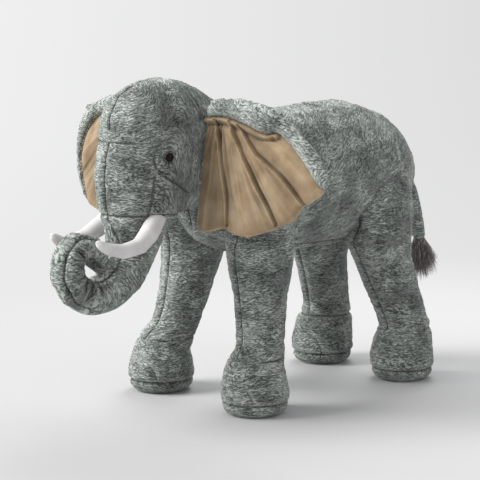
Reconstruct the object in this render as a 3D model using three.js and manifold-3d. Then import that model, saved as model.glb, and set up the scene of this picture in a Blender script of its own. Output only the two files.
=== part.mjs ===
// A large standing stuffed elephant: plush covers over firm stuffing and a bent steel frame,
// velour ears and tusks, and a curled trunk. Millimetres, +Z up, the elephant faces -Y and its
// left side is +X. Solids are drawn with the front feet on the line Y = 0; the finished group is
// then moved so that its origin is the bottom centre of its box.

import * as THREE from 'three';
import { mergeVertices } from 'three/addons/utils/BufferGeometryUtils.js';
import Module from 'manifold-3d';

const wasm = await Module();
wasm.setup();

// ---------------------------------------------------------------- driving dimensions

const CLOTH = 4;             // plush cover on a limb, backing and pile together
const BODY_CLOTH = 5;        // plush cover on the torso and the head
const GAP = 0.3;             // between pieces that touch
const SIDES = 12;            // facets round a limb
const BODY_SIDES = 16;       // facets round the torso and the head
const FILL_SIDES = 8;        // facets round a limb's stuffing
const BODY_FILL_SIDES = 12;  // facets round the torso's and the head's stuffing

const ANKLE_HEIGHT = 116;    // seam between leg cover and foot cover
const SOLE_SEAM = 27;        // the sole panel turns up round the foot to this seam
const SOLE_THICK = 4;        // its thickness under the foot
const BOARD_THICK = 3;       // stiff board inside each foot
const BELLY_HEIGHT = 345;    // the belly panel lies below this
const BELLY_HALF_WIDTH = 62;
const FACE_FRONT = -205;     // the face panels lie in front of this
const FACE_TOP = 566;        // and below this
const JAW_HEIGHT = 432;      // the jaw panel lies below this
const CHIN_FRONT = -104;     // and behind this
const TRUNK_BAND_HALF = 22;  // half width of the trunk's edge band

const MOUTH = [0, -182, 424];   // the trunk bends about this point
const KNUCKLE = 82;             // radius of the rounded top of the trunk
const KNUCKLE_PLAY = 0.6;
const JAW_CLEARANCE = 9;        // between the bending trunk and the jaw
const CHEEK_INSIDE = 56;        // the trunk's top swings between the cheeks, this far out
const CHEEK_DROP = 16;          // the cheeks reach this far below the mouth
const CHEEK_CLEARANCE = 12;     // below them, for the trunk's swing
const TUSK_CLEARANCE = 8;

const ROD = 4;               // radius of the frame's steel rod
const ROD_SIDES = 6;
const CROSSBAR_HEIGHT = 468;
const SPINE_HEIGHT = 486;

const EYE = 9;               // radius of the eye
const EYE_RIM = 1;           // straight rim below the eye's dome
const EYE_DOME = 5;          // height of the dome
const EYE_SIDES = 14;
const SHANK = 2;             // radius of the shank behind it
const SHANK_LENGTH = 16;
const SEAT_DEPTH = 1.6;      // the eye is pressed this far into the plush
const WASHER_THICK = 1.6;
const WASHER_DEPTH = 12;     // and its washer lies this far under the plush
const EYE_HEIGHT = 537;
const EYE_FORWARD = -170;
const PROBE_REACH = 300;     // the eye's axis starts this far out from the middle

const EAR_ROOT = [88, -98, 382];   // lower end of the ear's seam
const EAR_TILT = 8.5;              // the seam leans back by this, degrees
const EAR_SWEEP = 7;               // the ear is swept back by this, degrees
const EAR_LAYER = 5;               // thickness of each layer of the ear
const EAR_SEAM = [-20, 290];       // the head is cut back along the seam from here to here
const EAR_ROOT_CLEARANCE = 9;

const TAIL_ROOT = [0, 602, 440];
const TAIL_HINGE = [0, 606, 444];  // the tail lifts about this point
const TAIL_PIVOT = [0, 600, 440];  // and swings about this one
const TAIL_LIFT = 45;
const TAIL_SWING = 30;
const TUFT_TOP = 288;
const TAIL_CLEARANCE = 2;          // between the rump and the swinging tail
const TAB = [6, 14, 18];           // the sewn tab that holds the tail
const TAB_ROOM = [7, 3];           // round the tab, across and up
const TUSK_CLOTH = 2;

// Stations of each stuffed form: x, y, z of the centre, half width across, half depth.

const TORSO = [
  [0, -46, 472, 40, 52],
  [0, -30, 472, 78, 92],
  [0, 10, 468, 112, 128],
  [0, 70, 463, 128, 149],
  [0, 165, 460, 132, 155],
  [0, 280, 463, 136, 159],
  [0, 389, 467, 136, 161],
  [0, 455, 455, 130, 153],
  [0, 510, 436, 112, 136],
  [0, 550, 420, 88, 114],
  [0, 580, 408, 58, 84],
  [0, 600, 400, 26, 40],
  [0, 606, 398, 9, 13],
];

const CRANIUM = [
  [0, -246, 570, 34, 46],
  [0, -230, 572, 64, 88],
  [0, -198, 568, 82, 120],
  [0, -150, 555, 88, 138],
  [0, -100, 546, 90, 140],
  [0, -50, 542, 90, 124],
  [0, 0, 530, 92, 106],
  [0, 50, 516, 84, 88],
];

// The face runs from the brow to the mouth, and the trunk follows on to its tip.
const TRUNK = [
  [0, -152, 606, 62, 62],
  [0, -172, 560, 84, 82],
  [0, -180, 500, 84, 86],
  [0, -186, 445, 78, 79],
  [0, -190, 395, 65, 66],
  [0, -196, 350, 53, 48],
  [0, -215, 303, 46, 44],
  [0, -258, 268, 42, 41],
  [0, -312, 262, 40, 35],
  [0, -354, 294, 38, 34],
  [0, -357, 338, 36, 33],
  [0, -330, 366, 34, 30],
  [0, -295, 351, 32, 27],
  [0, -287, 326, 29, 24],
  [0, -287, 312, 20, 15],
];

// The stuffed cheek over each tusk's root.
const CHEEK = [
  [50, -158, 502, 22, 32],
  [56, -160, 484, 31, 50],
  [60, -162, 456, 33, 56],
  [60, -164, 432, 31, 54],
  [58, -165, 416, 20, 34],
];

const FRONT_LEG = [
  [88, 72, 440, 58, 76],
  [98, 68, 385, 64, 80],
  [106, 62, 325, 66, 74],
  [117, 52, 250, 56, 61],
  [129, 42, 185, 51, 53],
  [141, 30, 132, 49, 51],
  [148, 17, 108, 55, 58],
  [150, 9, 84, 65, 69],
  [151, 6, 52, 70, 74],
  [151, 6, 26, 69, 73],
  [151, 7, 8, 62, 66],
  [151, 7, 0, 54, 58],
];

const HIND_LEG = [
  [74, 446, 450, 60, 98],
  [84, 440, 385, 66, 98],
  [94, 436, 325, 67, 83],
  [102, 450, 260, 58, 65],
  [112, 472, 195, 53, 57],
  [122, 490, 135, 52, 56],
  [125, 491, 110, 57, 61],
  [126, 486, 86, 65, 69],
  [127, 482, 54, 69, 73],
  [127, 482, 26, 68, 72],
  [127, 483, 8, 61, 65],
  [127, 483, 0, 53, 57],
];

const TUSK = [
  [60, -164, 442, 17, 17],
  [67, -188, 412, 20, 20],
  [80, -216, 387, 20, 20],
  [89, -249, 366, 17, 17],
  [87, -288, 359, 15, 15],
  [80, -320, 366, 12, 12],
  [75, -337, 377, 9, 9],
  [73, -343, 383, 4, 4],
];

const TAIL = [
  [0, 614, 450, 9, 10],
  [0, 624, 434, 17, 18],
  [0, 644, 394, 18, 19],
  [0, 662, 345, 17, 17],
  [0, 674, 300, 16, 16],
  [0, 677, 284, 12, 12],
];

const TUFT = [
  [0, 677, 286, 9, 9],
  [0, 680, 270, 15, 15],
  [0, 686, 240, 24, 22],
  [0, 692, 214, 20, 18],
  [0, 697, 192, 4, 5],
];

// Outline of each ear in its own plane: outwards from the seam, and up along it. The left ear
// hangs with its upper corner rolled forwards, and the right one has that corner spread.
const LEFT_EAR = [
  [0, 12], [18, -2], [46, 5], [72, 15], [100, 4], [134, 1], [190, 21], [244, 46], [263, 76],
  [300, 98], [312, 124], [303, 152], [270, 184], [225, 217], [182, 247], [120, 266],
  [53, 271], [8, 262], [0, 238],
];
const RIGHT_EAR = [
  [0, 12], [18, -2], [60, 8], [100, 0], [150, 6], [205, 16], [235, 24], [263, 58],
  [297, 117], [312, 184], [288, 236], [225, 256], [150, 267], [53, 271], [8, 262], [0, 238],
];

// ---------------------------------------------------------------- shaping helpers

const vec = (a) => new THREE.Vector3(a[0], a[1], a[2]);
const mirrored = (stations) => stations.map(([x, ...rest]) => [-x, ...rest]);

// A closed solid from a geometry whose matching vertices are merged.
function solid(geometry) {
  const plain = geometry.clone();
  plain.deleteAttribute('normal');
  plain.deleteAttribute('uv');
  const merged = mergeVertices(plain, 1e-4);
  return new wasm.Manifold(new wasm.Mesh({
    numProp: 3,
    vertProperties: new Float32Array(merged.attributes.position.array),
    triVerts: new Uint32Array(merged.index.array),
  }));
}

// A stuffed form through its stations: a cylinder whose rings follow a smooth path.
// inset moves the surface inwards along its normals.
// square rounds the section: 2 is an ellipse, and more is fuller at the corners.
function form(stations, options = {}) {
  const { sides = SIDES, steps = stations.length - 1, inset = 0, square = 2 } = options;
  const path = new THREE.CatmullRomCurve3(stations.map(vec), false, 'catmullrom', 0.5);
  const girth = new THREE.SplineCurve(stations.map((s) => new THREE.Vector2(s[3], s[4])));
  const tube = new THREE.CylinderGeometry(1, 1, 1, sides, steps);
  tube.deleteAttribute('normal');
  tube.deleteAttribute('uv');
  const geometry = mergeVertices(tube, 1e-4);
  const place = geometry.attributes.position;
  const sideways = new THREE.Vector3(1, 0, 0);
  for (let i = 0; i < place.count; i += 1) {
    const t = 0.5 - place.getY(i);
    const along = path.getTangent(t);
    const across = sideways.clone().addScaledVector(along, -along.x).normalize();
    const deep = new THREE.Vector3().crossVectors(along, across);
    const size = girth.getPoint(t);
    const [x, z] = [place.getX(i), place.getZ(i)];
    const round = Math.hypot(x, z) ** square;
    const fuller = round > 0
      ? (round / (Math.abs(x) ** square + Math.abs(z) ** square)) ** (1 / square)
      : 1;
    const point = path.getPoint(t)
      .addScaledVector(across, x * fuller * Math.max(size.x, 2))
      .addScaledVector(deep, z * fuller * Math.max(size.y, 2));
    place.setXYZ(i, point.x, point.y, point.z);
  }
  if (inset !== 0) {
    geometry.computeVertexNormals();
    const normal = geometry.attributes.normal;
    for (let i = 0; i < place.count; i += 1) {
      place.setXYZ(
        i,
        place.getX(i) - normal.getX(i) * inset,
        place.getY(i) - normal.getY(i) * inset,
        place.getZ(i) - normal.getZ(i) * inset,
      );
    }
  }
  return solid(geometry);
}

// A box between two corners.
function block(low, high) {
  const [a, b] = [vec(low), vec(high)];
  const size = b.clone().sub(a);
  const centre = a.add(b).multiplyScalar(0.5);
  const geometry = new THREE.BoxGeometry(size.x, size.y, size.z);
  return solid(geometry.translate(centre.x, centre.y, centre.z));
}

// A round bar between two points.
function bar(start, end, radius, sides = 16) {
  const [a, b] = [vec(start), vec(end)];
  const along = b.clone().sub(a);
  const geometry = new THREE.CylinderGeometry(radius, radius, along.length(), sides);
  const turn = new THREE.Quaternion().setFromUnitVectors(
    new THREE.Vector3(0, 1, 0),
    along.clone().normalize(),
  );
  const centre = a.add(b).multiplyScalar(0.5);
  geometry.applyQuaternion(turn);
  return solid(geometry.translate(centre.x, centre.y, centre.z));
}

// A bent rod of round section through points, with softly rounded bends.
function rod(points, radius) {
  const path = new THREE.CatmullRomCurve3(points.map(vec), false, 'centripetal');
  const section = new THREE.Shape();
  for (let i = 0; i < ROD_SIDES; i += 1) {
    const turn = (2 * Math.PI * i) / ROD_SIDES;
    const [x, y] = [radius * Math.cos(turn), radius * Math.sin(turn)];
    if (i === 0) section.moveTo(x, y);
    else section.lineTo(x, y);
  }
  section.closePath();
  const steps = points.length * 2;
  return solid(new THREE.ExtrudeGeometry(section, { steps, extrudePath: path }));
}

function united(solids) {
  return solids.reduce((sum, one) => sum.add(one));
}

const FAR = 2000;
const leftHalf = block([GAP / 2, -FAR, -FAR], [FAR, FAR, FAR]);
const rightHalf = block([-FAR, -FAR, -FAR], [-GAP / 2, FAR, FAR]);
const below = (z) => block([-FAR, -FAR, -FAR], [FAR, FAR, z]);
const above = (z) => block([-FAR, -FAR, z], [FAR, FAR, FAR]);
const between = (low, high) => block([-FAR, -FAR, low], [FAR, FAR, high]);

const elephant = new THREE.Group();

// Adds one finished piece to the elephant, as a mesh with its own material.
function piece(name, shape, [color, roughness, metalness = 0]) {
  const { vertProperties, triVerts } = shape.getMesh();
  const geometry = new THREE.BufferGeometry();
  geometry.setAttribute('position', new THREE.BufferAttribute(vertProperties, 3));
  geometry.setIndex(new THREE.BufferAttribute(triVerts, 1));
  geometry.computeVertexNormals();
  const material = new THREE.MeshStandardMaterial({ color, roughness, metalness });
  const mesh = new THREE.Mesh(geometry, material);
  mesh.name = name;
  elephant.add(mesh);
  return mesh;
}

const PLUSH = [0x7f908d, 0.95];
const DARK_PLUSH = [0x66777a, 0.95];
const VELOUR = [0xa98f6c, 0.8];
const IVORY_VELOUR = [0xe9e7e2, 0.85];
const FIBRE = [0xf2f0ea, 1];
const STEEL = [0x9a9c9e, 0.35, 1];
const BOARD = [0xb79f78, 0.9];
const BLACK_PLASTIC = [0x14110f, 0.12];
const CLEAR_PLASTIC = [0xd8d8d4, 0.4];
const HAIR = [0x8c8580, 0.9];

// ---------------------------------------------------------------- forms shared by the pieces

const legStations = {
  front_left: FRONT_LEG,
  front_right: mirrored(FRONT_LEG),
  hind_left: HIND_LEG,
  hind_right: mirrored(HIND_LEG),
};
const legNames = Object.keys(legStations);

// A form's stuffing has fewer facets than its skin.
const bodySides = (inset) => (inset > 0 ? BODY_FILL_SIDES : BODY_SIDES);
const limbSides = (inset) => (inset > 0 ? FILL_SIDES : SIDES);
const bodyForm = (inset) => form(TORSO, { sides: bodySides(inset), inset });
const craniumForm = (inset) => form(CRANIUM, { sides: bodySides(inset), inset, square: 2.3 });
const trunkForm = (inset) => form(TRUNK, { sides: limbSides(inset), steps: 18, inset });
const legForm = (stations, inset) => form(stations, { sides: limbSides(inset), inset });

const body = bodyForm(0);
const bodyInside = bodyForm(BODY_CLOTH);
const bodyClear = bodyForm(-GAP);

// The knuckle: the trunk's top is rounded about the mouth, and the head is hollowed to match.
function knuckle(radius, halfWidth) {
  const [, y, z] = MOUTH;
  return bar([-halfWidth, y, z], [halfWidth, y, z], radius, 36);
}
const cheekFloor = MOUTH[2] - CHEEK_DROP;
const swingRoom = block(
  [-CHEEK_INSIDE - GAP * 2, -FAR, -FAR],
  [CHEEK_INSIDE + GAP * 2, FAR, MOUTH[2]],
).add(below(cheekFloor));
const trunkSpace = knuckle(KNUCKLE + KNUCKLE_PLAY, CHEEK_INSIDE + 2 * GAP)
  .add(trunkForm(-JAW_CLEARANCE).intersect(swingRoom));

const faceForm = (inset) => trunkForm(inset).intersect(above(cheekFloor));
const cheekForms = (inset) => united([CHEEK, mirrored(CHEEK)].map((stations) => (
  form(stations, { sides: bodySides(inset), inset })
)));
const headForm = (inset) => united([craniumForm(inset), faceForm(inset), cheekForms(inset)]);
const head = headForm(0).subtract(trunkSpace);
const headHollow = united([
  craniumForm(BODY_CLOTH), trunkForm(BODY_CLOTH), cheekForms(BODY_CLOTH),
]);
const headClear = headForm(-GAP);

// ---------------------------------------------------------------- steel frame

// Each leg frame is one rod from foot to foot, over the crossbar in the torso.
function legFrame(stations, radius) {
  const foot = stations[stations.length - 1];
  const shin = stations[5];
  const knee = stations[3];
  const hip = stations[1];
  const footTop = SOLE_THICK + BOARD_THICK + 6 * GAP;
  const oneSide = [
    [foot[0], foot[1], footTop],
    [shin[0], shin[1], shin[2]],
    [knee[0], knee[1], knee[2]],
    [hip[0], hip[1], hip[2]],
    [hip[0] * 0.5, hip[1], CROSSBAR_HEIGHT],
  ];
  const middle = [0, hip[1], CROSSBAR_HEIGHT];
  const otherSide = mirrored(oneSide).reverse();
  return rod([...oneSide, middle, ...otherSide], radius);
}

const spinePoints = [
  [0, 520, SPINE_HEIGHT],
  [0, 300, SPINE_HEIGHT],
  [0, 60, SPINE_HEIGHT],
  [0, -40, SPINE_HEIGHT + 30],
  [0, -120, SPINE_HEIGHT + 90],
];

const frameRods = (radius) => [
  ['front_leg_frame', legFrame(FRONT_LEG, radius)],
  ['hind_leg_frame', legFrame(HIND_LEG, radius)],
  ['spine_rod', rod(spinePoints, radius)],
];
frameRods(ROD).forEach(([name, shape]) => piece(name, shape, STEEL));

// Room for the rods: the same rods, thicker, with their lower ends run on through the boards' top.
const channels = united(frameRods(ROD + 2 * GAP).map(([, shape]) => shape));

// ---------------------------------------------------------------- torso

const tabSlot = block(
  [
    -TAB[0] / 2 - TAB_ROOM[0],
    TAIL_ROOT[1] - TAB[1] - TAB_ROOM[1],
    TAIL_ROOT[2] - TAB[2] / 2 - TAB_ROOM[1],
  ],
  [TAB[0] / 2 + TAB_ROOM[0], FAR, TAIL_ROOT[2] + TAB[2] / 2 + TAB_ROOM[1]],
);
const torsoShell = body.subtract(bodyInside).subtract(channels).subtract(tabSlot);
const bellyRoom = block(
  [-BELLY_HALF_WIDTH - GAP, -FAR, -FAR],
  [BELLY_HALF_WIDTH + GAP, FAR, BELLY_HEIGHT + GAP],
);
const bellyBlock = block([-BELLY_HALF_WIDTH, -FAR, -FAR], [BELLY_HALF_WIDTH, FAR, BELLY_HEIGHT]);
const flank = torsoShell.subtract(bellyRoom);
piece('torso_cover_left', flank.intersect(leftHalf), PLUSH);
piece('torso_cover_right', flank.intersect(rightHalf), PLUSH);
piece('belly_panel', torsoShell.intersect(bellyBlock), DARK_PLUSH);
piece('torso_stuffing', bodyForm(BODY_CLOTH + GAP).subtract(channels).subtract(tabSlot), FIBRE);

// ---------------------------------------------------------------- legs and feet

const boardLow = SOLE_THICK + GAP;
const boardHigh = boardLow + BOARD_THICK;

legNames.forEach((name) => {
  const stations = legStations[name];
  const outside = legForm(stations, 0).subtract(bodyClear);
  const inside = legForm(stations, CLOTH);
  const filling = legForm(stations, CLOTH + GAP).subtract(bodyClear);
  const shell = outside.subtract(inside).subtract(channels);
  piece(`${name}_leg_cover`, shell.intersect(above(ANKLE_HEIGHT + GAP)), PLUSH);
  piece(`${name}_foot_cover`, shell.intersect(between(SOLE_SEAM + GAP, ANKLE_HEIGHT)), PLUSH);
  const sole = outside.intersect(below(SOLE_SEAM)).subtract(inside.intersect(above(SOLE_THICK)));
  piece(`${name}_sole_panel`, sole, DARK_PLUSH);
  piece(`${name}_sole_board`, filling.intersect(between(boardLow, boardHigh)), BOARD);
  const room = above(boardHigh + GAP);
  piece(`${name}_leg_stuffing`, filling.intersect(room).subtract(channels), FIBRE);
});

// ---------------------------------------------------------------- head

// Each ear turns about its seam, which lies along this line.
const tilt = THREE.MathUtils.degToRad(EAR_TILT);
const sweep = THREE.MathUtils.degToRad(EAR_SWEEP);
const earUp = new THREE.Vector3(0, Math.sin(tilt), Math.cos(tilt));
const earOut = new THREE.Vector3(Math.cos(sweep), Math.sin(sweep), 0);
earOut.addScaledVector(earUp, -earOut.dot(earUp)).normalize();
const earSeam = EAR_SEAM.map((up) => vec(EAR_ROOT).addScaledVector(earUp, up).toArray());
const earRoom = bar(...earSeam, EAR_ROOT_CLEARANCE)
  .add(bar(...mirrored(earSeam), EAR_ROOT_CLEARANCE));

// The eye sits on the head where a line from outside meets it.
const eyeProbe = new THREE.Vector3(PROBE_REACH, EYE_FORWARD - 105, EYE_HEIGHT + 12);
const eyeAim = new THREE.Vector3(0, EYE_FORWARD + 45, EYE_HEIGHT - 4).sub(eyeProbe).normalize();
const headMesh = head.getMesh();
const headGeometry = new THREE.BufferGeometry();
headGeometry.setAttribute('position', new THREE.BufferAttribute(headMesh.vertProperties, 3));
headGeometry.setIndex(new THREE.BufferAttribute(headMesh.triVerts, 1));
const headSkin = new THREE.Mesh(headGeometry, new THREE.MeshStandardMaterial());
const eyeSeat = new THREE.Raycaster(eyeProbe, eyeAim).intersectObject(headSkin)[0].point;
const outwards = eyeAim.clone().negate();

// A point on the axis of the eye on one side, at a height above the cloth.
function onEyeAxis(side, height) {
  const point = eyeSeat.clone().addScaledVector(outwards, height);
  return [side * point.x, point.y, point.z];
}
const eyeHoles = united([1, -1].flatMap((side) => [
  bar(onEyeAxis(side, -SEAT_DEPTH), onEyeAxis(side, 12), EYE + 2 * GAP),
  bar(onEyeAxis(side, -2 * WASHER_DEPTH), onEyeAxis(side, 12), SHANK + GAP, 12),
]));
const washerRooms = united([1, -1].map((side) => (
  bar(onEyeAxis(side, -2 * WASHER_DEPTH), onEyeAxis(side, 12), EYE + 1)
)));

const headShell = head.subtract(headHollow).subtract(bodyClear).subtract(channels)
  .subtract(earRoom).subtract(eyeHoles);
const faceRoom = block([-FAR, -FAR, -FAR], [FAR, FACE_FRONT + GAP, FACE_TOP + GAP]);
const faceBlock = block([-FAR, -FAR, -FAR], [FAR, FACE_FRONT, FACE_TOP]);
const jawRoom = block([-FAR, CHIN_FRONT - GAP, -FAR], [FAR, FAR, JAW_HEIGHT + GAP]);
const jawBlock = block([-FAR, CHIN_FRONT, -FAR], [FAR, FAR, JAW_HEIGHT]);
const crown = headShell.subtract(faceRoom).subtract(jawRoom);
const face = headShell.intersect(faceBlock);
piece('head_cover_left', crown.intersect(leftHalf), PLUSH);
piece('head_cover_right', crown.intersect(rightHalf), PLUSH);
piece('face_panel_left', face.intersect(leftHalf), PLUSH);
piece('face_panel_right', face.intersect(rightHalf), PLUSH);
piece('jaw_panel', headShell.intersect(jawBlock), DARK_PLUSH);
const headFilling = headForm(BODY_CLOTH + GAP).subtract(trunkSpace).subtract(bodyClear)
  .subtract(channels).subtract(earRoom).subtract(washerRooms);
piece('head_stuffing', headFilling, FIBRE);

// ---------------------------------------------------------------- eyes

// Domed safety eye with a shank, and the washer that locks it inside the head.
const eyeBack = -SEAT_DEPTH + GAP;
const eyeProfile = [
  [0, -SHANK_LENGTH], [SHANK, -SHANK_LENGTH], [SHANK, eyeBack], [EYE, eyeBack], [EYE, EYE_RIM],
];
[0.25, 0.5, 0.75].forEach((part) => {
  const rise = (Math.PI / 2) * part;
  eyeProfile.push([EYE * Math.cos(rise), EYE_RIM + EYE_DOME * Math.sin(rise)]);
});
eyeProfile.push([0, EYE_RIM + EYE_DOME]);
const washerHole = SHANK + GAP;
const washerProfile = [
  [washerHole, 0], [EYE, 0], [EYE, WASHER_THICK], [washerHole, WASHER_THICK], [washerHole, 0],
];
function lathe(profile) {
  return new THREE.LatheGeometry(profile.map((p) => new THREE.Vector2(...p)), EYE_SIDES);
}

[['left', 1], ['right', -1]].forEach(([name, side]) => {
  const facing = outwards.clone().multiply(new THREE.Vector3(side, 1, 1));
  const turn = new THREE.Quaternion().setFromUnitVectors(new THREE.Vector3(0, 1, 0), facing);
  const setAt = (geometry, height) => {
    const [x, y, z] = onEyeAxis(side, height);
    return solid(geometry.applyQuaternion(turn).translate(x, y, z));
  };
  piece(`eye_${name}`, setAt(lathe(eyeProfile), 0), BLACK_PLASTIC);
  piece(`eye_washer_${name}`, setAt(lathe(washerProfile), -WASHER_DEPTH), CLEAR_PLASTIC);
});

// ---------------------------------------------------------------- trunk

const neckBlock = block([-CHEEK_INSIDE, -FAR, -FAR], [CHEEK_INSIDE, FAR, MOUTH[2]]);
const tuskRoom = united([TUSK, mirrored(TUSK)].map((stations) => (
  form(stations, { sides: 8, inset: -TUSK_CLEARANCE })
)));
const trunkTop = knuckle(KNUCKLE, CHEEK_INSIDE).add(neckBlock)
  .add(below(cheekFloor - CHEEK_CLEARANCE)).subtract(tuskRoom);
const trunkShell = trunkForm(0).subtract(trunkForm(CLOTH)).intersect(trunkTop);
const bandBlock = block([-TRUNK_BAND_HALF, -FAR, -FAR], [TRUNK_BAND_HALF, FAR, FAR]);
const outsideBand = (side) => (side > 0
  ? block([TRUNK_BAND_HALF + GAP, -FAR, -FAR], [FAR, FAR, FAR])
  : block([-FAR, -FAR, -FAR], [-TRUNK_BAND_HALF - GAP, FAR, FAR]));
piece('trunk_cover_left', trunkShell.intersect(outsideBand(1)), PLUSH);
piece('trunk_cover_right', trunkShell.intersect(outsideBand(-1)), PLUSH);
piece('trunk_band', trunkShell.intersect(bandBlock), PLUSH);
piece('trunk_stuffing', trunkForm(CLOTH + GAP).intersect(trunkTop), FIBRE);

// ---------------------------------------------------------------- tusks

[['left', TUSK], ['right', mirrored(TUSK)]].forEach(([name, stations]) => {
  const shape = (inset) => form(stations, { sides: 10, inset });
  const cover = shape(0).subtract(shape(TUSK_CLOTH)).subtract(headClear);
  piece(`tusk_cover_${name}`, cover, IVORY_VELOUR);
  piece(`tusk_stuffing_${name}`, shape(TUSK_CLOTH + GAP).subtract(headClear), FIBRE);
});

// ---------------------------------------------------------------- ears

// One layer of an ear, laid out flat from one depth to the next, then stood up at the seam.
function earLayer(outlinePoints, side, nearDepth, farDepth) {
  const points = outlinePoints.map(([out, up]) => new THREE.Vector2(side * out, up));
  const outline = new THREE.Shape(side > 0 ? points : points.reverse());
  const geometry = new THREE.ExtrudeGeometry(outline, {
    depth: farDepth - nearDepth,
    bevelEnabled: false,
    steps: 1,
  });
  geometry.translate(0, 0, nearDepth);
  const mirror = new THREE.Vector3(side, 1, 1);
  const out = earOut.clone().multiply(mirror).multiplyScalar(side);
  const up = earUp.clone().multiply(mirror);
  const forward = new THREE.Vector3().crossVectors(out, up);
  const stand = new THREE.Matrix4().makeBasis(out, up, forward)
    .setPosition(vec(EAR_ROOT).multiply(mirror));
  return solid(geometry.applyMatrix4(stand));
}

[['left', LEFT_EAR, 1], ['right', RIGHT_EAR, -1]].forEach(([name, outline, side]) => {
  piece(`ear_lining_${name}`, earLayer(outline, side, GAP / 2, EAR_LAYER), VELOUR);
  piece(`ear_back_${name}`, earLayer(outline, side, -EAR_LAYER, -GAP / 2), PLUSH);
});

// ---------------------------------------------------------------- tail

// Where the rump is, seen from the tail, when the tail is swung and lifted by so many degrees.
function rumpFromTail(swing, lift) {
  const toHinge = vec(TAIL_PIVOT).sub(vec(TAIL_HINGE)).toArray();
  return bodyForm(-TAIL_CLEARANCE)
    .translate(vec(TAIL_PIVOT).negate().toArray()).rotate([0, 0, -swing])
    .translate(toHinge).rotate([-lift, 0, 0])
    .translate(TAIL_HINGE);
}

const tailForm = (inset) => form(TAIL, { sides: 10, steps: 6, inset });
const rumps = [-TAIL_SWING, -TAIL_SWING / 2, 0, TAIL_SWING / 2, TAIL_SWING]
  .flatMap((swing) => [rumpFromTail(swing, 0), rumpFromTail(swing, TAIL_LIFT)]);
const tailSpan = between(TUFT_TOP, TAIL_ROOT[2] + 2).subtract(united(rumps));
piece('tail_cover', tailForm(0).subtract(tailForm(CLOTH)).intersect(tailSpan), PLUSH);
piece('tail_stuffing', tailForm(CLOTH + GAP).intersect(tailSpan), FIBRE);
piece('tail_tuft', form(TUFT, { sides: 10, steps: 8 }).intersect(below(TUFT_TOP - GAP)), HAIR);
piece('tail_tab', block(
  [-TAB[0] / 2, TAIL_ROOT[1] - TAB[1], TAIL_ROOT[2] - TAB[2] / 2],
  [TAB[0] / 2, TAIL_ROOT[1] + 1, TAIL_ROOT[2] + TAB[2] / 2],
), DARK_PLUSH);

// ---------------------------------------------------------------- origin

const box = new THREE.Box3().setFromObject(elephant);
elephant.position.set(0, -(box.min.y + box.max.y) / 2, -box.min.z);

export default elephant;
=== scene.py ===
# %% [markdown]
# # A large stuffed elephant
# The toy stands on four feet and is sewn from wrinkled grey plush over firm stuffing. Its ears are
# lined with tan velour, its tusks are white velour, and its trunk is curled up under the mouth.
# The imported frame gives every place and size, so the first step is to load it. Lengths in this
# lesson are millimetres on the sewing pattern, which is measured from the line under the front
# feet, and they are turned into the frame's metres when a mesh is written.

# %% Load the frame
import math
from itertools import product

import bmesh
import bpy
import numpy as np
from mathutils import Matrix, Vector
from mathutils.bvhtree import BVHTree


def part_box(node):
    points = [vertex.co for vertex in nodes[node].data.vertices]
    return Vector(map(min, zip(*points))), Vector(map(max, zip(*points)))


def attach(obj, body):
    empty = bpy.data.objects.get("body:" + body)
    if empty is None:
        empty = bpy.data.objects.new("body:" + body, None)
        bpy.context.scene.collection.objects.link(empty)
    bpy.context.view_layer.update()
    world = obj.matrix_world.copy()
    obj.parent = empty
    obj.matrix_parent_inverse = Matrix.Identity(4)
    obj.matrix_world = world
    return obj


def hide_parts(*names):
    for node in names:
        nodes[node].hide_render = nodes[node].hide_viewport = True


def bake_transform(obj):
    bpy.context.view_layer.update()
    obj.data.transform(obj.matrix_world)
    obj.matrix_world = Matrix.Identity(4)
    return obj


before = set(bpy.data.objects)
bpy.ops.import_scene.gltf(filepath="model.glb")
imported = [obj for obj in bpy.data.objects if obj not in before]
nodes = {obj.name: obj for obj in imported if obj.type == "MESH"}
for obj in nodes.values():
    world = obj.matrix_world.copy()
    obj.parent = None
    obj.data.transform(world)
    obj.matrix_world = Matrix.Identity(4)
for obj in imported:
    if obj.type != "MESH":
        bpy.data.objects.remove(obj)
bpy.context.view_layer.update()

# %% Pattern millimetres
FRONT_FEET = np.array((0.0, 158.745, 0.0))   # the front feet's line, from the frame's origin


def to_pattern(metres):
    """Points of the frame, in metres, as pattern millimetres."""
    return np.asarray(metres, float) * 1000 + FRONT_FEET


def to_frame(pattern):
    """Pattern millimetres as metres in the frame."""
    return (np.asarray(pattern, float) - FRONT_FEET) / 1000


print("frame origin in the pattern:", to_pattern((0, 0, 0)))

# %% [markdown]
# ## Shapes as arrays of numbers
# A sewn skin has tens of thousands of points, and each is moved by rules such as "sink along this
# seam". Moving them one at a time is slow, so the points are read into arrays, moved all at once
# and written back. The noise below is the usual kind, smooth random values on a lattice, written
# for arrays and with fixed seeds so that every run sews the same wrinkles.

# %% Read a mesh
def read_points(mesh):
    points = np.empty(len(mesh.vertices) * 3)
    mesh.vertices.foreach_get("co", points)
    return points.reshape(-1, 3)


def read_normals(mesh):
    normals = np.empty(len(mesh.vertices) * 3, np.float32)
    mesh.vertices.foreach_get("normal", normals)
    return normals.reshape(-1, 3).astype(float)


def read_quads(mesh):
    corners = np.empty(len(mesh.loops), np.int64)
    mesh.loops.foreach_get("vertex_index", corners)
    return corners.reshape(-1, 4)


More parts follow.
